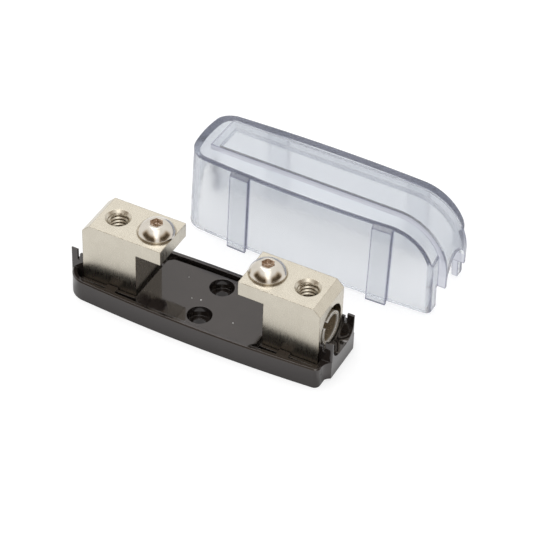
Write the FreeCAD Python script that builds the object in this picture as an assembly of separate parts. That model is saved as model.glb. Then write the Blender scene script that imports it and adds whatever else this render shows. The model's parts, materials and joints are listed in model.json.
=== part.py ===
import FreeCAD, Part
import os
from math import cos, pi, sin, sqrt
from FreeCAD import Vector

# An inline fuse holder for a bolt-down strip fuse, with its clear cover lifted off
# and stood behind it. Millimetres, +Z up. The origin is the middle of the base's
# underside. X runs from one cable end to the other, Y from the base to the cover.

# Fuse screws
FUSE_PITCH = 30.0
FUSE_SCREW_R = 2.5
FUSE_SCREW_LENGTH = 8.0
HEAD_R = 4.6
HEAD_HEIGHT = 2.9
HEAD_RIM = 0.6
HEAD_FLAT_R = 2.1
SOCKET_FLATS = 3.0
SOCKET_DEPTH = 1.6
TIP_CHAMFER = 0.4

# Terminal blocks: a foot with the cable bore, and a ledge under the fuse screw
SCREW_TO_TIP = 4.55
SCREW_TO_FOOT = 2.2
BLOCK_WIDTH = 12.5
BLOCK_HEIGHT = 17.5
LEDGE_THICK = 4.0
BLOCK_CHAMFER = 1.9
CABLE_BORE_R = 5.25
BORE_ABOVE_FLOOR = 8.7
BORE_END_WALL = 1.8
SET_HOLE_FROM_END = 6.4
SET_HOLE_R = 2.55
SET_HOLE_MOUTH = 0.65
SET_HOLE_MOUTH_DEPTH = 0.6

# Split reducer sleeves, lying in the bottom of the bores
SLEEVE_WALL = 0.8
SLEEVE_LENGTH = 12.5
SLEEVE_GAP = 1.4
SLEEVE_GAP_ANGLE = 135.0

# Countersunk screws that hold the blocks from below
BLOCK_SCREW_R = 1.5
BLOCK_SCREW_HEAD_R = 2.75
BLOCK_SCREW_SINK = 0.2
BLOCK_SCREW_FLATS = 2.0
BLOCK_SCREW_SOCKET = 1.0

# Base tray
TRAY_WIDTH = 22.8
TRAY_BOW = 1.4
TRAY_END_BOW = 1.5
TRAY_BIG_CORNER = 5.5
TRAY_SMALL_CORNER = 1.5
RIM_HEIGHT = 5.8
RIM_WALL = 1.2
RIM_EDGE = 0.3
FLOOR = 3.0
PEDESTAL_HEIGHT = 4.9
PEDESTAL_GROOVE = 0.7
PEDESTAL_CHAMFER = 2.2
FENCE_WALL = 0.9
FENCE_HEIGHT = 4.0
LUG_FROM_FOOT = 6.3
LUG_LENGTH = 3.0
LUG_HEIGHT = 4.6

# End posts with the cable notch, split by a narrow slot
POST_CHEEK = 0.6
POST_HEIGHT = 11.4
POST_SKIN = 1.85
POST_SLOT = 0.65
POST_SLOT_BOTTOM = 8.5
INNER_SKIN_DROP = 1.0
POST_OUT = 1.5
POST_CORNER = 0.4
COVE_R = 2.8
NOSE_BOTTOM = 0.8
NOTCH_CORNER = 3.5

# Mounting holes in the pedestal
MOUNT_PITCH = 11.3
MOUNT_HOLE_R = 1.75
MOUNT_SINK_R = 3.1
MOUNT_SINK_FLOOR = 2.0

# Clear cover, sizes from the feet of its ribs
COVER_WALL = 1.6
COVER_LIP = 0.8
COVER_DRAFT = 0.8
HOOD_R = 12.3
HOOD_BACK = 0.2
SHOULDER_RISE = 0.6
SPINE_RISE = 1.4
SPINE_WIDTH = 11.6
SPINE_FROM_END = 4.4
ARCH_R = 5.0
ARCH_ABOVE_CABLE = 2.05
RIB_XS = (-18.8, 20.2)
RIB_WIDTH = 5.2
RIB_PROUD = 0.9
RIB_TOP_DROP = 0.2

# Where the lifted cover stands
COVER_X = 12.5
COVER_APART = 13.5
COVER_YAW = -0.9

# Clearances
THREAD_GAP = 0.05
SLEEVE_ROOM = 1.0
SLEEVE_FIT = 0.03
SLEEVE_END_GAP = 0.5
SCREW_TO_BORE = 0.25
FOOT_GAP = 0.15
PEDESTAL_GAP = 0.7
NOTCH_GAP = 0.15
END_ROOM = 2.0
HEADROOM = 5.2
POST_ROOM = 0.4
LAP_GAP = 0.1
WINDOW_GAP = 0.25
BEYOND = 5.0

# Places along X that follow from the fuse and the cable
BLOCK_TIP = FUSE_PITCH / 2 - SCREW_TO_TIP
FOOT_INNER = FUSE_PITCH / 2 + SCREW_TO_FOOT
BORE_END = FOOT_INNER + BORE_END_WALL
BLOCK_END = BORE_END + SLEEVE_END_GAP + SLEEVE_LENGTH
FOOT_MIDDLE = (FOOT_INNER + BLOCK_END) / 2
TRAY_END = BLOCK_END + END_ROOM
POST_END = TRAY_END + POST_OUT
TRAY_LENGTH = 2 * TRAY_END
POST_WIDTH = 2 * (CABLE_BORE_R + NOTCH_GAP + POST_CHEEK)

# Heights that follow from one another. The closed cover sits COVER_SEAT above the base's foot.
BLOCK_TOP = FLOOR + BLOCK_HEIGHT
CABLE_AXIS = FLOOR + BORE_ABOVE_FLOOR
COVER_SEAT = RIM_HEIGHT - COVER_LIP
COVER_CREST = BLOCK_TOP + HEAD_HEIGHT + HEADROOM + COVER_WALL - COVER_SEAT
COVER_HEIGHT = COVER_CREST - SPINE_RISE - SHOULDER_RISE

UP = Vector(0, 0, 1)
ALONG = Vector(1, 0, 0)
ACROSS = Vector(0, 1, 0)
SIDES = {"left": -1, "right": 1}


def box(x0, x1, y0, y1, z0, z1):
    return Part.makeBox(x1 - x0, y1 - y0, z1 - z0, Vector(x0, y0, z0))


def cylinder(radius, z0, z1, x=0.0, y=0.0):
    return Part.makeCylinder(radius, z1 - z0, Vector(x, y, z0), UP)


def cylinder_along_x(radius, x0, x1, z):
    return Part.makeCylinder(radius, x1 - x0, Vector(x0, 0, z), ALONG)


def polygon_face(points):
    return Part.Face(Part.makePolygon(points + points[:1]))


def hexagon(flats, z0, z1):
    corner = flats / 2 / cos(pi / 6)
    points = [Vector(corner * cos(i * pi / 3), corner * sin(i * pi / 3), z0) for i in range(6)]
    return polygon_face(points).extrude(UP * (z1 - z0))


def toward(centre, through, distance):
    return centre + (through - centre).normalize() * distance


def arc_about(centre, start, end):
    """The shorter arc from start to end round centre."""
    middle = toward(centre, (start + end) / 2, (start - centre).Length)
    return Part.Arc(start, middle, end).toShape()


def bow_radius(half_chord, bow):
    return (half_chord ** 2 + bow ** 2) / (2 * bow)


def circles_meet(centre_a, radius_a, centre_b, radius_b):
    """Where two level circles cross, on the right hand of the way from a to b."""
    way = centre_b - centre_a
    along = (radius_a ** 2 - radius_b ** 2 + way.Length ** 2) / (2 * way.Length)
    way.normalize()
    return centre_a + way * along + way.cross(UP) * sqrt(radius_a ** 2 - along ** 2)


def tray_outline(inset, z):
    """The plan of tray and cover, drawn in by inset: bowed sides, one bowed end at -X.

    The small corners at +X are sharp once the inset takes up their radius."""
    half = TRAY_WIDTH / 2
    small = max(TRAY_SMALL_CORNER, inset)
    side_r = bow_radius(TRAY_END, TRAY_BOW)
    end_r = bow_radius(half - TRAY_BOW, TRAY_END_BOW)
    side_mid = Vector(0, side_r - half, z)
    end_mid = Vector(end_r - TRAY_END - TRAY_END_BOW, 0, z)
    big_mid = circles_meet(side_mid, side_r - TRAY_BIG_CORNER, end_mid, end_r - TRAY_BIG_CORNER)
    small_x = TRAY_END - small
    small_mid = Vector(small_x, side_mid.y - sqrt((side_r - small) ** 2 - small_x ** 2), z)
    points = [
        toward(end_mid, big_mid, end_r - inset),
        toward(side_mid, big_mid, side_r - inset),
        toward(side_mid, small_mid, side_r - inset),
        Vector(TRAY_END - inset, small_mid.y, z),
    ]
    centres = [big_mid, side_mid] + [small_mid] * (inset < TRAY_SMALL_CORNER)
    near = [arc_about(centre, a, b) for centre, a, b in zip(centres, points, points[1:])]
    far = [edge.mirror(Vector(0, 0, 0), ACROSS) for edge in reversed(near)]
    straight = Part.makeLine(points[-1], Vector(points[-1].x, -points[-1].y, z))
    bowed = arc_about(end_mid, Vector(points[0].x, -points[0].y, z), points[0])
    return Part.Wire(near + [straight] + far + [bowed])


def tray_prism(inset, z0, z1):
    return Part.Face(tray_outline(inset, z0)).extrude(UP * (z1 - z0))


def terminal_block():
    """The +X block: an L from the side, standing on the tray's floor."""
    ledge = BLOCK_TOP - LEDGE_THICK
    half = BLOCK_WIDTH / 2
    side = [
        Vector(FOOT_INNER, -half, FLOOR),
        Vector(BLOCK_END, -half, FLOOR),
        Vector(BLOCK_END, -half, BLOCK_TOP - BLOCK_CHAMFER),
        Vector(BLOCK_END - BLOCK_CHAMFER, -half, BLOCK_TOP),
        Vector(BLOCK_TIP, -half, BLOCK_TOP),
        Vector(BLOCK_TIP, -half, ledge),
        Vector(FOOT_INNER, -half, ledge),
    ]
    block = polygon_face(side).extrude(ACROSS * BLOCK_WIDTH)
    set_x = BLOCK_END - SET_HOLE_FROM_END
    tip = BLOCK_TOP - FUSE_SCREW_LENGTH - THREAD_GAP
    mouth = Part.makeCone(SET_HOLE_R, SET_HOLE_R + SET_HOLE_MOUTH, SET_HOLE_MOUTH_DEPTH,
                          Vector(set_x, 0, BLOCK_TOP - SET_HOLE_MOUTH_DEPTH), UP)
    return block.cut([
        cylinder_along_x(CABLE_BORE_R, BORE_END, BLOCK_END + BEYOND, CABLE_AXIS),
        cylinder(SET_HOLE_R, CABLE_AXIS, BLOCK_TOP + BEYOND, set_x),
        mouth,
        cylinder(FUSE_SCREW_R + THREAD_GAP, tip, BLOCK_TOP + BEYOND, FUSE_PITCH / 2),
        cylinder(BLOCK_SCREW_R + THREAD_GAP, 0, block_screw_tip() + THREAD_GAP, FOOT_MIDDLE),
    ])


def block_screw_tip():
    return CABLE_AXIS - CABLE_BORE_R - SCREW_TO_BORE


def fuse_screw():
    """Button-head screw with a round dome, seated on the +X block's top face."""
    corners = [
        Vector(HEAD_FLAT_R, 0, HEAD_HEIGHT),
        Vector(0, 0, HEAD_HEIGHT),
        Vector(0, 0, -FUSE_SCREW_LENGTH),
        Vector(FUSE_SCREW_R - TIP_CHAMFER, 0, -FUSE_SCREW_LENGTH),
        Vector(FUSE_SCREW_R, 0, TIP_CHAMFER - FUSE_SCREW_LENGTH),
        Vector(FUSE_SCREW_R, 0, 0),
        Vector(HEAD_R, 0, 0),
        Vector(HEAD_R, 0, HEAD_RIM),
    ]
    edges = [Part.makeLine(a, b) for a, b in zip(corners, corners[1:])]
    across = HEAD_FLAT_R ** 2 - HEAD_R ** 2
    dome = (across + HEAD_HEIGHT ** 2 - HEAD_RIM ** 2) / (2 * (HEAD_HEIGHT - HEAD_RIM))
    edges.append(arc_about(Vector(0, 0, dome), corners[-1], corners[0]))
    screw = Part.Face(Part.Wire(edges)).revolve(Vector(0, 0, 0), UP, 360)
    screw = screw.cut(hexagon(SOCKET_FLATS, HEAD_HEIGHT - SOCKET_DEPTH, HEAD_HEIGHT + BEYOND))
    return screw.translated(Vector(FUSE_PITCH / 2, 0, BLOCK_TOP))


def block_screw():
    """Countersunk screw up through the tray's floor into the +X block's foot."""
    start = BLOCK_SCREW_SINK
    tip = block_screw_tip()
    corners = [
        Vector(0, 0, start),
        Vector(BLOCK_SCREW_HEAD_R, 0, start),
        Vector(BLOCK_SCREW_R, 0, start + BLOCK_SCREW_HEAD_R - BLOCK_SCREW_R),
        Vector(BLOCK_SCREW_R, 0, tip - TIP_CHAMFER),
        Vector(BLOCK_SCREW_R - TIP_CHAMFER, 0, tip),
        Vector(0, 0, tip),
    ]
    screw = polygon_face(corners).revolve(Vector(0, 0, 0), UP, 360)
    screw = screw.cut(hexagon(BLOCK_SCREW_FLATS, start - BEYOND, start + BLOCK_SCREW_SOCKET))
    return screw.translated(Vector(FOOT_MIDDLE, 0, 0))


def reducer_sleeve():
    """Split ring along X, resting on the bottom of the +X block's bore."""
    outer = CABLE_BORE_R - SLEEVE_ROOM
    axis = CABLE_AXIS - SLEEVE_ROOM + SLEEVE_FIT
    x0 = BLOCK_END - SLEEVE_LENGTH
    before, after = x0 - BEYOND, BLOCK_END + BEYOND
    sleeve = cylinder_along_x(outer, x0, BLOCK_END, 0)
    sleeve = sleeve.cut(cylinder_along_x(outer - SLEEVE_WALL, before, after, 0))
    gap = box(before, after, 0, outer + BEYOND, -SLEEVE_GAP / 2, SLEEVE_GAP / 2)
    gap.rotate(Vector(0, 0, 0), ALONG, SLEEVE_GAP_ANGLE)
    return sleeve.cut(gap).translated(Vector(0, 0, axis))


def pedestal():
    """Raised middle of the floor, with its corners cut back beside the blocks."""
    end = FOOT_INNER - PEDESTAL_GAP
    half = TRAY_WIDTH / 2
    cut = PEDESTAL_CHAMFER + TRAY_BOW
    points = []
    for sx, sy in ((-1, -1), (1, -1), (1, 1), (-1, 1)):
        pair = [Vector(sx * end, sy * (half - cut), FLOOR), Vector(sx * (end - cut), sy * half, FLOOR)]
        points += pair if sx == sy else pair[::-1]
    block = polygon_face(points).extrude(UP * (PEDESTAL_HEIGHT - FLOOR))
    return block.common(tray_prism(RIM_WALL + PEDESTAL_GROOVE, FLOOR, PEDESTAL_HEIGHT))


def foot_fence():
    """Low wall round the +X block's foot, and the lugs that tie it to the rim."""
    gap = FOOT_GAP
    half = BLOCK_WIDTH / 2 + gap
    x0 = FOOT_INNER - gap
    x1 = BLOCK_END + gap
    outer = box(x0, x1, -half - FENCE_WALL, half + FENCE_WALL, 0, FENCE_HEIGHT)
    lug_x = FOOT_INNER + LUG_FROM_FOOT
    lugs = box(lug_x - LUG_LENGTH / 2, lug_x + LUG_LENGTH / 2, -TRAY_WIDTH / 2, TRAY_WIDTH / 2,
               0, LUG_HEIGHT)
    lugs = lugs.common(tray_prism(RIM_WALL / 2, 0, LUG_HEIGHT))
    return outer.fuse(lugs).cut(box(x0, x1, -half, half, FLOOR, RIM_HEIGHT))


def end_post():
    """The +X end wall: an outer skin, a narrow slot and a lower inner skin."""
    inner = BLOCK_END + FOOT_GAP
    slot_outer = POST_END - POST_SKIN
    half = POST_WIDTH / 2
    post = box(inner, POST_END, -half, half, NOSE_BOTTOM, POST_HEIGHT)
    corners = [edge for edge in post.Edges
               if edge.BoundBox.XMin > slot_outer and edge.BoundBox.ZLength > edge.BoundBox.YLength]
    return post.makeFillet(POST_CORNER, corners).cut([
        box(slot_outer - POST_SLOT, slot_outer, -half, half, POST_SLOT_BOTTOM, POST_HEIGHT),
        box(inner, slot_outer, -half, half, POST_HEIGHT - INNER_SKIN_DROP, POST_HEIGHT),
    ])


def cable_notch():
    """What is cut from the +X post, down to the rim, with round lower corners."""
    half = CABLE_BORE_R + NOTCH_GAP
    notch = box(BLOCK_END, POST_END + BEYOND, -half, half, RIM_HEIGHT, POST_HEIGHT + BEYOND)
    lower = [edge for edge in notch.Edges
             if edge.BoundBox.ZMax < POST_HEIGHT and edge.BoundBox.XLength > edge.BoundBox.YLength]
    return notch.makeFillet(NOTCH_CORNER, lower)


def coved_nose():
    """The straight +X end runs out to the post in a hollow curve on each side."""
    cove = POST_WIDTH / 2 + sqrt(COVE_R ** 2 - (COVE_R - POST_OUT) ** 2)
    nose = box(TRAY_END - RIM_WALL / 2, POST_END, -cove, cove, NOSE_BOTTOM, RIM_HEIGHT)
    return nose.cut([cylinder(COVE_R, -BEYOND, RIM_HEIGHT + BEYOND, TRAY_END + COVE_R, side * cove)
                     for side in SIDES.values()])


def mirrored(shape):
    return shape.mirror(Vector(0, 0, 0), ALONG)


def base():
    tray = tray_prism(0, 0, RIM_HEIGHT)
    tray = tray.makeChamfer(RIM_EDGE, max(tray.Faces, key=lambda f: f.CenterOfMass.z).Edges)
    tray = tray.cut(tray_prism(RIM_WALL, FLOOR, RIM_HEIGHT))
    post = end_post()
    fence = foot_fence()
    notch = cable_notch()
    body = tray.fuse([pedestal(), coved_nose(), fence, mirrored(fence), post, mirrored(post)])
    cuts = [notch, mirrored(notch)]
    head = BLOCK_SCREW_HEAD_R + THREAD_GAP
    shank = BLOCK_SCREW_R + THREAD_GAP
    for side in SIDES.values():
        x = side * FOOT_MIDDLE
        y = side * MOUNT_PITCH / 2
        cuts += [
            Part.makeCone(head, shank, head - shank, Vector(x, 0, BLOCK_SCREW_SINK), UP),
            cylinder(head, -BEYOND, BLOCK_SCREW_SINK, x),
            cylinder(shank, 0, FLOOR, x),
            cylinder(MOUNT_HOLE_R, -BEYOND, PEDESTAL_HEIGHT, 0, y),
            cylinder(MOUNT_SINK_R, MOUNT_SINK_FLOOR, RIM_HEIGHT, 0, y),
        ]
    return body.cut(cuts).removeSplitter()


def cover_sides(*levels):
    """Drafted walls on the tray's own plan, through levels of (growth outwards, height)."""
    outlines = [tray_outline(COVER_DRAFT * z / COVER_HEIGHT - grow, z) for grow, z in levels]
    return Part.makeLoft(outlines, True, True)


def cover_roof(inset):
    """Cross-section carried along the top, round the hood and down the +X end."""
    turn_x = TRAY_END - HOOD_BACK - HOOD_R
    turn_z = COVER_HEIGHT - HOOD_R
    reach = TRAY_WIDTH
    shoulder = HOOD_R - inset
    crest = shoulder + SHOULDER_RISE
    spine = SPINE_WIDTH / 2 - inset
    ridge = crest + SPINE_RISE

    def section(x, points):
        return polygon_face([Vector(x, y, turn_z + r) for y, r in points])

    side = TRAY_WIDTH / 2
    slope = [(-reach, shoulder), (-side, shoulder), (-spine, crest), (spine, crest), (side, shoulder),
             (reach, shoulder), (reach, 0), (-reach, 0)]
    raised = [(-spine, 0), (-spine, ridge), (spine, ridge), (spine, 0)]
    pieces = []
    for points, start in ((slope, -TRAY_LENGTH), (raised, SPINE_FROM_END - TRAY_END + inset)):
        along = section(start, points).extrude(ALONG * (turn_x - start))
        face = section(turn_x, points)
        bend = face.revolve(Vector(turn_x, 0, turn_z), ACROSS, 90)
        face.rotate(Vector(turn_x, 0, turn_z), ACROSS, 90)
        down = face.extrude(UP * -COVER_HEIGHT)
        pieces += [along, bend, down]
    under = box(-TRAY_LENGTH, turn_x, -reach, reach, turn_z - COVER_HEIGHT, turn_z)
    return under.fuse(pieces)


def cover_solid(inset, z0):
    """The cover's outer form, or what is hollowed from it, open downwards."""
    roof = cover_roof(inset)
    sides = cover_sides((-inset, z0), (-inset, COVER_CREST))
    nose = box(0, TRAY_LENGTH, -SPINE_WIDTH / 2 + inset, SPINE_WIDTH / 2 - inset, z0, COVER_CREST)
    return roof.common(sides.fuse(nose))


def cover_ribs():
    """Flat ribs on both long walls. Their tops slope in, their feet lap over the tray's rim."""
    bands = [box(x - RIB_WIDTH / 2, x + RIB_WIDTH / 2, -TRAY_WIDTH, TRAY_WIDTH, 0, COVER_HEIGHT)
             for x in RIB_XS]
    slope = COVER_HEIGHT - RIB_PROUD - RIB_TOP_DROP
    sides = cover_sides((RIB_PROUD, 0), (RIB_PROUD, slope), (-RIB_TOP_DROP, COVER_HEIGHT))
    ribs = sides.common(bands[0].fuse(bands[1]))
    return ribs.cut([cover_solid(COVER_WALL, 0), tray_prism(-LAP_GAP, 0, COVER_LIP)])


def end_openings():
    """Each end is open over the tray's post, with an arch above it for the cable."""
    half = POST_WIDTH / 2 + WINDOW_GAP
    window = POST_HEIGHT + POST_ROOM - COVER_SEAT
    arch = CABLE_AXIS + ARCH_ABOVE_CABLE - COVER_SEAT
    cuts = []
    for side in SIDES.values():
        x0, x1 = sorted((side * (BLOCK_END - FOOT_GAP), side * TRAY_LENGTH))
        cuts.append(box(x0, x1, -half, half, 0, window))
        cuts.append(box(x0, x1, -ARCH_R, ARCH_R, 0, arch))
        cuts.append(cylinder_along_x(ARCH_R, x0, x1, arch))
    return cuts


def cover():
    shell = cover_solid(0, COVER_LIP).cut(cover_solid(COVER_WALL, 0)).cut(end_openings())
    shell = shell.fuse(cover_ribs()).removeSplitter()
    shell.rotate(Vector(0, 0, 0), UP, COVER_YAW)
    return shell.translated(Vector(COVER_X, TRAY_WIDTH + COVER_APART, 0))


def build():
    nodes = {"base": base(), "cover": cover()}
    pairs = {
        "terminal_block": terminal_block(),
        "fuse_screw": fuse_screw(),
        "reducer_sleeve": reducer_sleeve(),
        "block_screw": block_screw(),
    }
    for name, shape in pairs.items():
        nodes[name + "_right"] = shape
        nodes[name + "_left"] = mirrored(shape)
    return nodes


os.makedirs("parts", exist_ok=True)
for node, shape in build().items():
    shape.exportStep(os.path.join("parts", node + ".step"))
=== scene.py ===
import json
import math
import random

import bmesh
import bpy
from mathutils import Matrix, Vector


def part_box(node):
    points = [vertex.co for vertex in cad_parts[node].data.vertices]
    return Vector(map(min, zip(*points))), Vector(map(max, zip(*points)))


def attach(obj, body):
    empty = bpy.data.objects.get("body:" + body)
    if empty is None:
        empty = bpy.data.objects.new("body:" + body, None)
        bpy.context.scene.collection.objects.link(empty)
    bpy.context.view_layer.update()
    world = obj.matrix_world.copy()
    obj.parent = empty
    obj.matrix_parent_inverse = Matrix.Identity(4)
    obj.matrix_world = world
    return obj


# Looks for the inline fuse holder: a glossy black tray, two satin nickel terminal blocks with
# polished screws, and a clear cover lifted off behind them. Metres, with +Z up. Noise and grain
# are in cells a metre.

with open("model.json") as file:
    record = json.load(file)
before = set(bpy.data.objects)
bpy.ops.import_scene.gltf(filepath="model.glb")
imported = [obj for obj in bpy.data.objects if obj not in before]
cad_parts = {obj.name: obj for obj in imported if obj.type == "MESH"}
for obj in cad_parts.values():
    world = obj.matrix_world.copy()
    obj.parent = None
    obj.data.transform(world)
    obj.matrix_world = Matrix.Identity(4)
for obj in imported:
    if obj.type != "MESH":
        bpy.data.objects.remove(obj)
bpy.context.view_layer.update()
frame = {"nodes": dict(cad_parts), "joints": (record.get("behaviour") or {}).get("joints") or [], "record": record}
nodes = frame["nodes"]
mounts = {mount["name"]: mount for mount in frame["record"]["mounts"]}
joints = {joint["name"]: joint for joint in frame["joints"]}

MM = 0.001
SIDES = ("left", "right")

# Camera
IMAGE_PX = 533
VIEW_AZIMUTH = math.radians(26.33)
VIEW_ELEVATION = math.radians(41.103)
VIEW_ROLL = math.radians(2.076)
VIEW_DISTANCE = 553.655 * MM
VIEW_OFFSET_X = 13.529 * MM
VIEW_OFFSET_Y = 12.044 * MM
FOCAL_PX = 2283.91
SENSOR_MM = 36.0
CLIP_NEAR = 0.01
CLIP_FAR = 20.0

# Lamp overhead, and even light from all round
KEY_PLACE = (-0.3, 0.2, 1.1)
KEY_TARGET = (0, 0.01, 0)
KEY_SIDE = 0.8
KEY_POWER = 4.0
AMBIENT = 0.78

# The room that gloss sees: white, with a bright patch high in front, and dark left and right of it
ROOM_TINT = (1, 0.985, 0.96, 1)
GLARE = 0.9
GLARE_FRONT = (-0.02, 0.18)
GLARE_FOOT = (0.45, 0.7)
GLARE_EDGE = (-0.2, 0.06)
GLARE_WIDENING = 0.35
DARK_TINT = (0.9, 0.62, 0.34, 1)
DARK_SHARE = 0.92
DARK_FRONT = (-0.25, 0.15)
DARK_FOOT = (0.2, 0.35)
DARK_TOP = (0.55, 0.84)
DARK_LEFT = (-0.24, 0.04)
DARK_RIGHT = (0.2, 0.45)

# Table, which glows evenly for the camera, and less near the tray for gloss and clear plastic, as a painted shadow
TABLE_HALF_SIDE = 4.0
TABLE_DROP = 0.02 * MM
TABLE_ALBEDO = 0.38
TABLE_ROUGHNESS = 0.9
CAMERA_GLOW = 0.72
FAR_GLOW = 0.63
NEAR_GLOW = 0.33
NEAR_REACH = 9 * MM
END_QUICKENING = 4.0

# Threads of the empty set-screw holes and of the fuse screws
SET_PITCH = 1.0 * MM
SET_DEPTH = 0.42 * MM
SET_TURNS = 4.6
SET_TOP = 0.75 * MM
FUSE_PITCH = 0.8 * MM
FUSE_SHANK_RADIUS = 2.5 * MM
FUSE_THREAD_PROUD = 0.07 * MM
FUSE_THREAD_SUNK = 0.1 * MM
FUSE_THREAD_START = 4.2 * MM
FUSE_TIP_TURNS = 0.5
FLANK_SHARE = 0.44
FLAT_SHARE = 0.06
FADE_TURNS = 0.5
STEPS_PER_TURN = 48
MERGE_DISTANCE = 1e-7

# Dust on the raised middle of the tray, by its place in the photograph, in pixels
DUST_PX = ((189, 277), (192, 298), (201, 300), (233, 323))
DUST_FLOOR = 4.9 * MM
DUST_SIZE = 0.17 * MM
DUST_SIZES = (0.8, 1.5)
DUST_REACHES = (0.65, 1.1)
DUST_POINTS = 9
DUST_RISE = 0.35
DUST_TAPER = 0.6
DUST_SEED = 7
DUST_COLOURS = ((0.62, 0.61, 0.6, 1), (0.92, 0.91, 0.89, 1))
DUST_NOISE = 9000
DUST_ROUGHNESS = 0.9

# Edges of all materials. One counts in full where rounding lowers the normals' dot product by EDGE_FULL.
EDGE_SAMPLES = 6
EDGE_FULL = 0.12
PLASTIC_ROUNDING = 0.2 * MM
METAL_ROUNDING = 0.15 * MM

# Black plastic
BLACK_COLOURS = ((0.014, 0.011, 0.010, 1), (0.020, 0.016, 0.0145, 1))
BLACK_COLOUR_NOISE = 260
BLACK_ROUGHNESS = (0.04, 0.10)
BLACK_ROUGHNESS_NOISE = 420
BLACK_IOR = 1.76
BLACK_GLOSS = (1.0, 0.95, 0.94, 1)
WAVE_NOISE = 900
WAVE_HEIGHT = 0.004 * MM
WAVE_STRENGTH = 0.5

# Metals: the two colours that each drifts between, how rough it is, and its fine grain
METAL_NOISE = 350
BLOCK_COLOURS = ((0.605, 0.563, 0.478, 1), (0.645, 0.603, 0.515, 1))
BLOCK_ROUGHNESS = (0.25, 0.32)
BLOCK_GRAIN = 3200
BLOCK_GRAIN_DEPTH = 0.0002 * MM
BLOCK_GRAIN_STRETCH = (1, 1, 0.15)
SCREW_COLOURS = ((0.62, 0.58, 0.52, 1), (0.70, 0.66, 0.60, 1))
SCREW_ROUGHNESS = (0.12, 0.2)
SCREW_GRAIN = 1500
SCREW_GRAIN_DEPTH = 0.001 * MM
SLEEVE_COLOURS = ((0.40, 0.32, 0.22, 1), (0.56, 0.47, 0.34, 1))
SLEEVE_ROUGHNESS = (0.18, 0.3)
SLEEVE_GRAIN = 1800
SLEEVE_GRAIN_DEPTH = 0.002 * MM
SLEEVE_METALLIC = 0.6
ZINC_COLOURS = ((0.55, 0.55, 0.56, 1), (0.66, 0.66, 0.67, 1))
ZINC_ROUGHNESS = (0.2, 0.35)
ZINC_GRAIN = 2200
ZINC_GRAIN_DEPTH = 0.003 * MM

# Painted shade along the blocks' edges, a dark line broken into patches
BLOCK_EDGE_SHADE_REACH = 0.3 * MM
BLOCK_EDGE_SHADE_TINT = (0.28, 0.23, 0.17, 1)
BLOCK_EDGE_SHADE_NOISE = 1200
BLOCK_EDGE_SHADE_SHARES = (0.2, 1.0)
BLOCK_EDGE_SHADE_STEP = (0.4, 0.55)

# Painted highlight on the cut rims of the sleeves, which are pale and dull
RIM_REACH = 0.9 * MM
RIM_HIGHLIGHT_TINT = (0.95, 0.93, 0.88, 1)

# Brownish, cloudy colour in the sockets of the fuse screws
SOCKET_REACH = 1.8 * MM
SOCKET_COLOURS = ((0.66, 0.56, 0.48, 1), (0.98, 0.90, 0.84, 1))
SOCKET_NOISE = 1500
SOCKET_STEP = (0.42, 0.58)

# Painted contact shadow round the head of each fuse screw, on its block
CONTACT_SHADE_WIDTH = 0.36 * MM
CONTACT_SHADE_TINT = (0.27, 0.22, 0.15, 1)

# A place this far below a surface still counts as on it
SURFACE_SLACK = 0.05 * MM

# Clear plastic, what it does to light that passes straight through, and the painted glow that a ray lost inside it
# sees
CLEAR_COLOURS = ((0.94, 0.958, 0.965, 1), (0.965, 0.978, 0.982, 1))
CLEAR_NOISE = 90
CLEAR_ROUGHNESS = 0.2
CLEAR_IOR = 1.49
CLEAR_TRANSMISSION = 0.97
CLEAR_DENSITY = 225.0
CLEAR_SHADE = (0.68, 0.70, 0.755, 1)
THROUGH_TINT = (0.9, 0.91, 0.93, 1)
OUTSIDE_BOUNCES = 0.5
DEEP_BOUNCES = 5.5
DEEP_LIGHT = (0.34, 0.335, 0.44, 1)

# Painted shade along the cover's edges, which fades over these heights
EDGE_REACH = 0.4 * MM
COVER_EDGE_SHADE_TINT = (0.20, 0.19, 0.32, 1)
DEEP_EDGES = 0.4
LIP_FADE = (0.5 * MM, 2.5 * MM)
LIP_SHARE = 0.3
SHOULDER_FADE = (20 * MM, 22.5 * MM)
SHOULDER_SHARE = 0.45
SPINE_FADE = (24.4 * MM, 25.1 * MM)

# Painted shade makes the cover's ribs look darker than its wall, and painted dark lines give them crisp edges
RIB_MIDDLES = (-6.3 * MM, 32.7 * MM)
RIB_HALF = 2.6 * MM
RIB_SHADE_TINT = (0.90, 0.92, 0.93, 1)
RIB_FADE = (21 * MM, 22.5 * MM)
RIB_EDGE_REACH = 0.55 * MM
RIB_EDGE_FULL = 0.04
RIB_EDGE_FADE = (22.4 * MM, 23.4 * MM)

# Painted highlight on the risers of the cover's spine, between their edges: a glow that only the camera sees
SPINE_REACH = 7.5 * MM
UPRIGHT = 0.98
RISER_LIGHT = (0.60, 0.61, 0.68, 1)
RISER_SHARE = 0.7

# Colour sockets of a Mix node, by their order
MIX_LOW = 6
MIX_HIGH = 7
MIX_RESULT = 2


def view_axes():
    """The camera's right, up and back directions."""
    ca, sa = math.cos(VIEW_AZIMUTH), math.sin(VIEW_AZIMUTH)
    ce, se = math.cos(VIEW_ELEVATION), math.sin(VIEW_ELEVATION)
    back = Vector((sa * ce, -ca * ce, se))
    right = Vector((ca, sa, 0))
    up = back.cross(right)
    cr, sr = math.cos(VIEW_ROLL), math.sin(VIEW_ROLL)
    return right * cr + up * sr, up * cr - right * sr, back


def view_place():
    right, up, back = view_axes()
    return back * VIEW_DISTANCE + right * VIEW_OFFSET_X + up * VIEW_OFFSET_Y


def on_plane(pixel, height):
    """Where the photograph's pixel meets the level plane at that height."""
    right, up, back = view_axes()
    place = view_place()
    dx = (pixel[0] - IMAGE_PX / 2) / FOCAL_PX
    dy = (IMAGE_PX / 2 - pixel[1]) / FOCAL_PX
    ray = right * dx + up * dy - back
    return place + ray * ((height - place.z) / ray.z)


def into_scene(name, data):
    thing = bpy.data.objects.new(name, data)
    bpy.context.scene.collection.objects.link(thing)
    return thing


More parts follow.
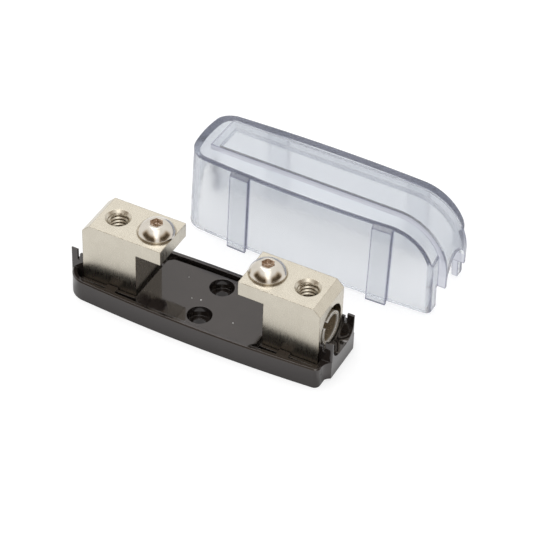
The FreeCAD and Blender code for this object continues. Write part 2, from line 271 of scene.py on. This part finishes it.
def make_camera():
    data = bpy.data.cameras.new("camera")
    data.sensor_width = SENSOR_MM
    data.sensor_fit = "HORIZONTAL"
    data.lens = FOCAL_PX / IMAGE_PX * SENSOR_MM
    data.clip_start = CLIP_NEAR
    data.clip_end = CLIP_FAR
    camera = into_scene("camera", data)
    turn = Matrix(view_axes()).transposed().to_4x4()
    camera.matrix_world = Matrix.Translation(view_place()) @ turn
    bpy.context.scene.camera = camera


def make_key_light():
    data = bpy.data.lights.new("key", "AREA")
    data.size = KEY_SIDE
    data.energy = KEY_POWER
    aim = (Vector(KEY_PLACE) - Vector(KEY_TARGET)).to_track_quat("Z", "Y")
    lamp = into_scene("key", data)
    lamp.matrix_world = Matrix.Translation(KEY_PLACE) @ aim.to_matrix().to_4x4()


class Nodes:
    """Short calls to add, set and join the nodes of one tree."""

    def __init__(self, tree):
        self.tree = tree

    def feed(self, socket, value):
        """Join another node's output to the socket, or give the socket a plain value."""
        if isinstance(value, bpy.types.NodeSocket):
            self.tree.links.new(value, socket)
        else:
            socket.default_value = value

    def add(self, kind, **sockets):
        """A new node with its sockets fed by name."""
        node = self.tree.nodes.new(kind)
        for key, value in sockets.items():
            self.feed(node.inputs[key.replace("_", " ")], value)
        return node

    def in_order(self, node, *values):
        """The node, with its first sockets fed in their order."""
        for socket, value in zip(node.inputs, values):
            self.feed(socket, value)
        return node

    def math(self, operation, *values):
        node = self.add("ShaderNodeMath")
        node.operation = operation
        return self.in_order(node, *values).outputs["Value"]

    def product(self, first, *others):
        for other in others:
            first = self.math("MULTIPLY", first, other)
        return first

    def dot(self, first, second):
        node = self.add("ShaderNodeVectorMath")
        node.operation = "DOT_PRODUCT"
        return self.in_order(node, first, second).outputs["Value"]

    def spread(self, value, span, low, high, smooth=False):
        """Goes from low to high as the value goes through the span."""
        node = self.add("ShaderNodeMapRange", Value=value, From_Min=span[0], From_Max=span[1],
                        To_Min=low, To_Max=high)
        if smooth:
            node.interpolation_type = "SMOOTHSTEP"
        return node.outputs["Result"]

    def blend(self, factor, low, high):
        """The colour low where factor is 0, and the colour high where it is 1."""
        node = self.tree.nodes.new("ShaderNodeMix")
        node.data_type = "RGBA"
        self.feed(node.inputs["Factor"], factor)
        self.feed(node.inputs[MIX_LOW], low)
        self.feed(node.inputs[MIX_HIGH], high)
        return node.outputs[MIX_RESULT]

    def mix(self, factor, low, high):
        """The shader low where factor is 0, and the shader high where it is 1."""
        return self.in_order(self.add("ShaderNodeMixShader"), factor, low, high).outputs["Shader"]

    def ray(self, name):
        """What the Light Path node says of a ray under that name."""
        return self.add("ShaderNodeLightPath").outputs[name]

    def emission(self, **sockets):
        return self.add("ShaderNodeEmission", **sockets).outputs["Emission"]


class Look(Nodes):
    """A new material, with calls for the patterns that the looks share."""

    def __init__(self, name):
        self.material = bpy.data.materials.new(name)
        self.material.use_nodes = True
        super().__init__(self.material.node_tree)
        self.surface = self.tree.nodes["Principled BSDF"]
        self.output = self.tree.nodes["Material Output"]

    def set(self, **sockets):
        for key, value in sockets.items():
            self.feed(self.surface.inputs[key.replace("_", " ")], value)

    def place(self, stretch=(1, 1, 1)):
        """Object coordinates, in metres, stretched along the axes."""
        coordinates = self.add("ShaderNodeTexCoord").outputs["Object"]
        return self.add("ShaderNodeMapping", Vector=coordinates, Scale=stretch).outputs["Vector"]

    def along(self, axis):
        return self.add("ShaderNodeSeparateXYZ", Vector=self.place()).outputs[axis]

    def noise(self, scale, detail=4, stretch=(1, 1, 1)):
        node = self.add("ShaderNodeTexNoise", Vector=self.place(stretch), Scale=scale, Detail=detail)
        return node.outputs["Fac"]

    def ramp(self, factor, low, high, at=(0.3, 0.7)):
        """A value or colour that goes from low to high as factor crosses the two places."""
        node = self.add("ShaderNodeValToRGB", Fac=factor)
        for element, value, where in zip(node.color_ramp.elements, (low, high), at):
            element.position = where
            element.color = value if isinstance(value, tuple) else (value, value, value, 1)
        return node.outputs["Color"]

    def rounded(self, radius):
        """The surface's direction, with edges that look rounded by the radius."""
        node = self.add("ShaderNodeBevel", Radius=radius)
        node.samples = EDGE_SAMPLES
        return node.outputs["Normal"]

    def bump(self, height, distance, rounding, strength=1):
        """Fine relief, with edges that look rounded."""
        node = self.add("ShaderNodeBump", Height=height, Distance=distance, Strength=strength,
                        Normal=self.rounded(rounding))
        self.set(Normal=node.outputs["Normal"])

    def grain(self, scale, depth, roughness, stretch=(1, 1, 1)):
        """Fine grain that runs along the way that stretch is smallest."""
        fine = self.noise(scale, detail=6, stretch=stretch)
        self.set(Roughness=self.ramp(fine, *roughness))
        self.bump(fine, depth, METAL_ROUNDING)

    def edges(self, radius, full=EDGE_FULL):
        """1 on an edge, and 0 from radius away from it."""
        normal = self.add("ShaderNodeNewGeometry").outputs["Normal"]
        return self.spread(self.dot(self.rounded(radius), normal), (1, 1 - full), 0, 1)

    def rise(self, span, low, high):
        """Goes from low to high over the span of heights."""
        return self.spread(self.along("Z"), span, low, high)

    def stripes(self, middles, half):
        """1 within half of either place along X."""
        across = self.along("X")
        return self.math("MAXIMUM", *[self.math("COMPARE", across, middle, half) for middle in middles])

    def from_screws(self):
        """Distance from the nearer fuse screw's axis. The two axes stand at y = 0, at x and -x."""
        screw_x = joints["fuse_screw_right_turn"]["pos_m"][0]
        beside = self.math("SUBTRACT", self.math("ABSOLUTE", self.along("X")), screw_x)
        ahead = self.along("Y")
        squares = self.math("ADD", self.product(beside, beside), self.product(ahead, ahead))
        return self.math("SQRT", squares)

    def risers(self):
        """1 on the walls along X that lie within SPINE_REACH of the cover's middle."""
        low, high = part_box("cover")
        middle = (low.y + high.y) / 2
        aside = self.math("ABSOLUTE", self.math("SUBTRACT", self.along("Y"), middle))
        normal = self.add("ShaderNodeNewGeometry").outputs["True Normal"]
        facing = self.math("ABSOLUTE", self.add("ShaderNodeSeparateXYZ", Vector=normal).outputs["Y"])
        return self.product(self.math("GREATER_THAN", facing, UPRIGHT),
                            self.math("LESS_THAN", aside, SPINE_REACH))


def black_plastic():
    """Glossy injection-moulded plastic with a very slight waviness."""
    look = Look("black_plastic")
    look.set(IOR=BLACK_IOR, Specular_Tint=BLACK_GLOSS,
             Base_Color=look.ramp(look.noise(BLACK_COLOUR_NOISE), *BLACK_COLOURS),
             Roughness=look.ramp(look.noise(BLACK_ROUGHNESS_NOISE, detail=6), *BLACK_ROUGHNESS))
    look.bump(look.noise(WAVE_NOISE, detail=2), WAVE_HEIGHT, PLASTIC_ROUNDING, WAVE_STRENGTH)
    return look.material


def drifting(look, colours):
    """Slight clouds in the colour of a metal."""
    return look.ramp(look.noise(METAL_NOISE, detail=5), *colours)


def screw_contact_shade(look):
    """Painted contact shadow: 1 on the block's top beside a fuse screw's head, and 0 from CONTACT_SHADE_WIDTH away
    from it.
    """
    low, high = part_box("fuse_screw_right")
    head_radius = (high.x - low.x) / 2
    seat = joints["fuse_screw_right_turn"]["pos_m"][2]
    near = look.spread(look.from_screws(), (head_radius, head_radius + CONTACT_SHADE_WIDTH), 1, 0)
    return look.product(near, look.math("GREATER_THAN", look.along("Z"), seat - SURFACE_SLACK))


def block_metal():
    """Satin nickel with upright grain, painted shade along its edges and a painted contact shadow round each
    screw's head.
    """
    look = Look("nickel_block")
    patches = look.ramp(look.noise(BLOCK_EDGE_SHADE_NOISE, detail=3), *BLOCK_EDGE_SHADE_SHARES, at=BLOCK_EDGE_SHADE_STEP)
    # Painted shade: a dark line along the edges, in patches
    edge_shade = look.product(look.edges(BLOCK_EDGE_SHADE_REACH), patches)
    plated = look.blend(edge_shade, drifting(look, BLOCK_COLOURS), BLOCK_EDGE_SHADE_TINT)
    # Painted contact shadow round each screw's head
    look.set(Metallic=1, Base_Color=look.blend(screw_contact_shade(look), plated, CONTACT_SHADE_TINT))
    look.grain(BLOCK_GRAIN, BLOCK_GRAIN_DEPTH, BLOCK_ROUGHNESS, BLOCK_GRAIN_STRETCH)
    return look.material


def screw_metal():
    """Polished nickel, brownish in the socket."""
    look = Look("polished_nickel")
    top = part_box("fuse_screw_right")[1].z
    inside = look.product(look.math("LESS_THAN", look.from_screws(), SOCKET_REACH),
                          look.math("LESS_THAN", look.along("Z"), top - SURFACE_SLACK))
    socket_colour = look.ramp(look.noise(SOCKET_NOISE, detail=2), *SOCKET_COLOURS, at=SOCKET_STEP)
    look.set(Metallic=1, Base_Color=look.blend(inside, drifting(look, SCREW_COLOURS), socket_colour))
    look.grain(SCREW_GRAIN, SCREW_GRAIN_DEPTH, SCREW_ROUGHNESS)
    return look.material


def sleeve_metal():
    """Brownish metal, with a painted highlight on its cut rims, which are pale and dull."""
    look = Look("sleeve_brass")
    rims = look.edges(RIM_REACH)
    # Painted highlight: the cut rims are pale and dull
    look.set(Metallic=look.product(look.math("SUBTRACT", 1, rims), SLEEVE_METALLIC),
             Base_Color=look.blend(rims, drifting(look, SLEEVE_COLOURS), RIM_HIGHLIGHT_TINT))
    look.grain(SLEEVE_GRAIN, SLEEVE_GRAIN_DEPTH, SLEEVE_ROUGHNESS)
    return look.material


def zinc_steel():
    look = Look("zinc_steel")
    look.set(Metallic=1, Base_Color=drifting(look, ZINC_COLOURS))
    look.grain(ZINC_GRAIN, ZINC_GRAIN_DEPTH, ZINC_ROUGHNESS)
    return look.material


def cover_edge_shade(look):
    """How strongly painted shade darkens the cover's edges, which is less where they are seen through plastic."""
    top = look.math("MAXIMUM", look.rise(SHOULDER_FADE, 1, SHOULDER_SHARE), look.rise(SPINE_FADE, 0, 1))
    edges = look.product(look.edges(EDGE_REACH), look.rise(LIP_FADE, LIP_SHARE, 1), top)
    rib_edge_shade = look.product(look.edges(RIB_EDGE_REACH, RIB_EDGE_FULL),
                             look.stripes(RIB_MIDDLES, RIB_HALF + RIB_EDGE_REACH),
                             look.rise(RIB_EDGE_FADE, 1, SHOULDER_SHARE))
    share = look.math("MAXIMUM", look.ray("Is Camera Ray"), DEEP_EDGES)
    return look.product(look.math("MAXIMUM", edges, rib_edge_shade), share)


def clear_plastic():
    """Clear bluish moulding with tinted edges. Its shadow is faint, and gloss elsewhere sees through it."""
    look = Look("clear_plastic")
    # Painted shade along the edges of the cover and of its ribs
    edges = cover_edge_shade(look)
    body = look.ramp(look.noise(CLEAR_NOISE), *CLEAR_COLOURS)
    # Painted shade on the ribs, and on the edges, in the base colour
    ribs = look.product(look.stripes(RIB_MIDDLES, RIB_HALF), look.rise(RIB_FADE, 1, 0))
    tinted = look.blend(edges, look.blend(ribs, body, RIB_SHADE_TINT), COVER_EDGE_SHADE_TINT)
    look.set(IOR=CLEAR_IOR, Roughness=CLEAR_ROUGHNESS, Transmission_Weight=CLEAR_TRANSMISSION,
             Base_Color=tinted)
    shade = look.add("ShaderNodeVolumeAbsorption", Density=CLEAR_DENSITY, Color=CLEAR_SHADE)
    look.feed(look.output.inputs["Volume"], shade.outputs["Volume"])

    between_edges = look.product(look.risers(), look.math("SUBTRACT", 1, edges))
    # Painted highlight: an emission that only the camera sees
    glint = look.product(between_edges, look.ray("Is Camera Ray"), RISER_SHARE)
    lit = look.mix(glint, look.surface.outputs["BSDF"], look.emission(Color=RISER_LIGHT))

    # Painted glow for rays that bounce too often inside the plastic
    lost = look.math("GREATER_THAN", look.ray("Ray Depth"), DEEP_BOUNCES)
    solid = look.mix(lost, lit, look.emission(Color=DEEP_LIGHT))

    outside = look.math("LESS_THAN", look.ray("Transmission Depth"), OUTSIDE_BOUNCES)
    mirrored = look.product(look.ray("Is Glossy Ray"), outside)
    passing = look.math("MAXIMUM", look.ray("Is Shadow Ray"), mirrored)
    through = look.add("ShaderNodeBsdfTransparent", Color=THROUGH_TINT).outputs["BSDF"]
    look.feed(look.output.inputs["Surface"], look.mix(passing, solid, through))
    return look.material


def dust_material():
    look = Look("dust")
    look.set(Roughness=DUST_ROUGHNESS, Base_Color=look.ramp(look.noise(DUST_NOISE), *DUST_COLOURS))
    return look.material


def table_material():
    """White table. Seen straight, in gloss or through plastic it shows near white, with a soft shadow."""
    look = Look("white_table")
    look.set(Roughness=TABLE_ROUGHNESS, Specular_IOR_Level=0,
             Base_Color=(TABLE_ALBEDO, TABLE_ALBEDO, TABLE_ALBEDO, 1))
    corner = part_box("base")[1]
    beside = look.math("SUBTRACT", look.math("ABSOLUTE", look.along("Y")), corner.y)
    beyond = look.math("SUBTRACT", look.math("ABSOLUTE", look.along("X")), corner.x)
    away = look.math("MAXIMUM", beside, look.product(beyond, END_QUICKENING))
    # Painted shadow: gloss and clear plastic see a dimmer glow near the tray
    near = look.spread(away, (0, NEAR_REACH), NEAR_GLOW, FAR_GLOW, smooth=True)
    bright = look.math("MAXIMUM", near, look.product(look.ray("Is Camera Ray"), CAMERA_GLOW))
    direct = look.math("MAXIMUM", look.ray("Is Camera Ray"), look.ray("Is Glossy Ray"))
    seen = look.math("MAXIMUM", direct, look.ray("Is Transmission Ray"))
    glow = look.emission(Strength=look.product(bright, seen))
    total = look.in_order(look.add("ShaderNodeAddShader"), look.surface.outputs["BSDF"], glow)
    look.feed(look.output.inputs["Surface"], total.outputs["Shader"])
    return look.material


def add_table():
    far = TABLE_HALF_SIDE
    corners = [(x, y, -TABLE_DROP) for x, y in ((-far, -far), (far, -far), (far, far), (-far, far))]
    mesh = bpy.data.meshes.new("table")
    mesh.from_pydata(corners, [], [(0, 1, 2, 3)])
    mesh.materials.append(table_material())
    table = into_scene("table", mesh)


def make_world():
    """Even light all round, and the room that gloss sees."""
    world = bpy.data.worlds.new("studio")
    bpy.context.scene.world = world
    world.use_nodes = True
    sky = Nodes(world.node_tree)

    def step(value, span, low=0, high=1):
        """A soft step. The value is how far a ray points one way, from -1 to 1."""
        return sky.spread(value, span, low, high, smooth=True)

    ca, sa = math.cos(VIEW_AZIMUTH), math.sin(VIEW_AZIMUTH)
    way = sky.add("ShaderNodeTexCoord").outputs["Generated"]
    right = sky.dot(way, (ca, sa, 0))
    front = sky.dot(way, (sa, -ca, 0))
    height = sky.dot(way, (0, 0, 1))
    sides = sky.math("MAXIMUM", step(right, DARK_LEFT, 1, 0), step(right, DARK_RIGHT))
    dark = sky.product(step(front, DARK_FRONT), step(height, DARK_TOP, 1, 0),
                       step(height, DARK_FOOT), sides)
    aside = sky.math("SUBTRACT", sky.math("ABSOLUTE", right), sky.product(height, GLARE_WIDENING))
    bright = sky.product(step(front, GLARE_FRONT), step(aside, GLARE_EDGE, 1, 0),
                         step(height, GLARE_FOOT))
    shaded = sky.math("SUBTRACT", 1, sky.product(dark, DARK_SHARE))
    room = sky.math("ADD", sky.product(bright, GLARE), shaded)
    studio = sky.add("ShaderNodeBackground", Color=sky.blend(dark, ROOM_TINT, DARK_TINT), Strength=room)

    even = sky.tree.nodes["Background"]
    even.inputs["Color"].default_value = (AMBIENT, AMBIENT, AMBIENT, 1)
    plain = sky.add("ShaderNodeBackground", Color=(1, 1, 1, 1))
    seen = sky.math("MAXIMUM", sky.ray("Is Camera Ray"), sky.ray("Is Transmission Ray"))
    around = sky.mix(seen, even.outputs["Background"], plain.outputs["Background"])
    whole = sky.mix(sky.ray("Is Glossy Ray"), around, studio.outputs["Background"])
    sky.feed(sky.tree.nodes["World Output"].inputs["Surface"], whole)


def dress(node, material):
    mesh = nodes[node].data
    mesh.materials.clear()
    mesh.materials.append(material)


def new_piece(name, bm, material, body):
    """A piece of the scene from a finished bmesh, which rides on the body."""
    bmesh.ops.recalc_face_normals(bm, faces=bm.faces)
    mesh = bpy.data.meshes.new(name)
    bm.to_mesh(mesh)
    bm.free()
    mesh.materials.append(material)
    piece = into_scene(name, mesh)
    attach(piece, body)


def thread(centre, root, crest, pitch, z_top, turns):
    """A V-shaped ridge wound downwards from z_top, which fades in and out."""
    bm = bmesh.new()
    steps = int(turns * STEPS_PER_TURN)
    fade = FADE_TURNS * STEPS_PER_TURN
    flank = pitch * FLANK_SHARE
    flat = pitch * FLAT_SHARE
    rows = []
    for step in range(steps + 1):
        angle = math.tau * step / STEPS_PER_TURN
        z = z_top - pitch * step / STEPS_PER_TURN
        tip = root + (crest - root) * min(1, step / fade, (steps - step) / fade)
        row = []
        for radius, lift in ((root, flank), (tip, flat), (tip, -flat), (root, -flank)):
            x = centre.x + radius * math.cos(angle)
            y = centre.y + radius * math.sin(angle)
            row.append(bm.verts.new((x, y, z + lift)))
        rows.append(row)
    for upper, lower in zip(rows, rows[1:]):
        for corner in range(len(upper)):
            after = (corner + 1) % len(upper)
            bm.faces.new((upper[corner], lower[corner], lower[after], upper[after]))
    bm.faces.new(rows[0])
    bm.faces.new(rows[-1][::-1])
    bmesh.ops.remove_doubles(bm, verts=bm.verts, dist=MERGE_DISTANCE)
    return bm


def add_set_hole_thread(side, material):
    hole = mounts["set_screw_hole_" + side]
    root = hole["dims"]["r_mm"] * MM
    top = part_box("terminal_block_" + side)[1].z
    bm = thread(Vector(hole["pos_m"]), root, root - SET_DEPTH, SET_PITCH, top - SET_TOP, SET_TURNS)
    new_piece("set_hole_thread_" + side, bm, material, "holder")


def add_fuse_screw_thread(side, material):
    low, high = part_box("fuse_screw_" + side)
    seat = joints["fuse_screw_" + side + "_turn"]["pos_m"][2]
    start = seat - FUSE_THREAD_START
    turns = (start - low.z) / FUSE_PITCH - FUSE_TIP_TURNS
    root = FUSE_SHANK_RADIUS - FUSE_THREAD_SUNK
    crest = FUSE_SHANK_RADIUS + FUSE_THREAD_PROUD
    bm = thread((low + high) / 2, root, crest, FUSE_PITCH, start, turns)
    new_piece("fuse_screw_thread_" + side, bm, material, "fuse_screw_" + side)


def add_dust(material):
    """Small flat flecks lying on the raised middle."""
    draw = random.Random(DUST_SEED)
    for number, pixel in enumerate(DUST_PX, start=1):
        place = on_plane(pixel, DUST_FLOOR)
        size = DUST_SIZE * draw.uniform(*DUST_SIZES)
        bm = bmesh.new()
        outline = []
        for point in range(DUST_POINTS):
            angle = math.tau * point / DUST_POINTS
            reach = size * draw.uniform(*DUST_REACHES)
            x = place.x + reach * math.cos(angle)
            y = place.y + reach * math.sin(angle)
            outline.append(bm.verts.new((x, y, DUST_FLOOR)))
        raised = bmesh.ops.extrude_face_region(bm, geom=[bm.faces.new(outline)])
        for vert in raised["geom"]:
            if isinstance(vert, bmesh.types.BMVert):
                vert.co.z += size * DUST_RISE
                vert.co.xy = place.xy + (vert.co.xy - place.xy) * DUST_TAPER
        new_piece("dust_fleck_%d" % number, bm, material, "holder")


make_camera()
make_key_light()
make_world()
add_table()
bpy.context.scene.view_settings.view_transform = "Standard"

nickel = block_metal()
polish = screw_metal()
sleeve = sleeve_metal()
zinc = zinc_steel()
dress("base", black_plastic())
dress("cover", clear_plastic())
for side in SIDES:
    dress("terminal_block_" + side, nickel)
    dress("fuse_screw_" + side, polish)
    dress("reducer_sleeve_" + side, sleeve)
    dress("block_screw_" + side, zinc)
    add_set_hole_thread(side, nickel)
    add_fuse_screw_thread(side, polish)
add_dust(dust_material())
